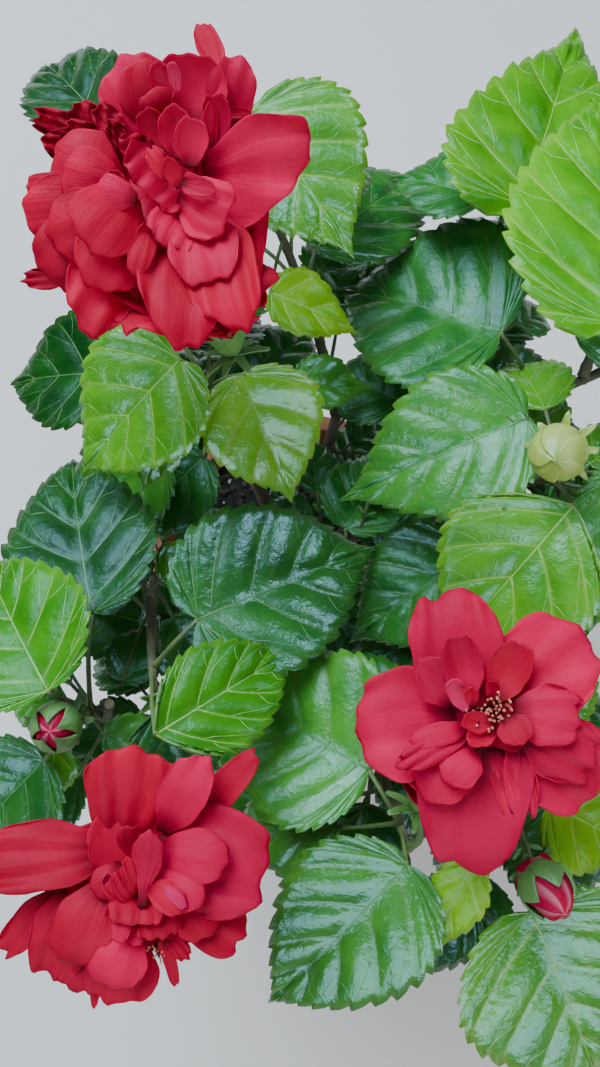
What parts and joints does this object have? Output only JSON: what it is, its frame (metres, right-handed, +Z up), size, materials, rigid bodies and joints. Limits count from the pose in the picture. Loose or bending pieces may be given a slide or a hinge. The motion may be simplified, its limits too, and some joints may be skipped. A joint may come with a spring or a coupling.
{
  "type": "potted hibiscus shrub",
  "caption": "Compact double red hibiscus shrub in a plain clay pot: short trunk, spreading boughs, broad toothed leaves, blooms and buds.",
  "frame": {"origin": "middle of the pot's flat underside", "axes": "+Z up; -Y is the side of the plant nearest the viewer's feet, the picture's lower edge; +X is the picture's right"},
  "size_m": [0.4183, 0.629, 0.6713],
  "materials": {
    "clay": "matte",
    "potting_mix": "matte",
    "bark": "matte",
    "foliage": "satin",
    "petals": "satin"
  },
  "bodies": {
    "root": {"pot": "clay", "soil": "potting_mix", "trunk": "bark", "bough_back_left": "bark", "bough_back": "bark", "bough_back_right": "bark", "bough_right": "bark", "bough_front_right": "bark", "bough_front": "bark", "bough_front_left": "bark", "bough_left": "bark", "bough_middle": "bark", "foliage_back_left": "foliage", "foliage_back": "foliage", "foliage_back_right": "foliage", "foliage_right": "foliage", "foliage_front_right": "foliage", "foliage_front": "foliage", "foliage_front_left": "foliage", "foliage_left": "foliage", "foliage_middle": "foliage", "bloom_back_left": "petals", "bloom_front": "petals", "bloom_front_left": "petals"}
  },
  "joints": []
}
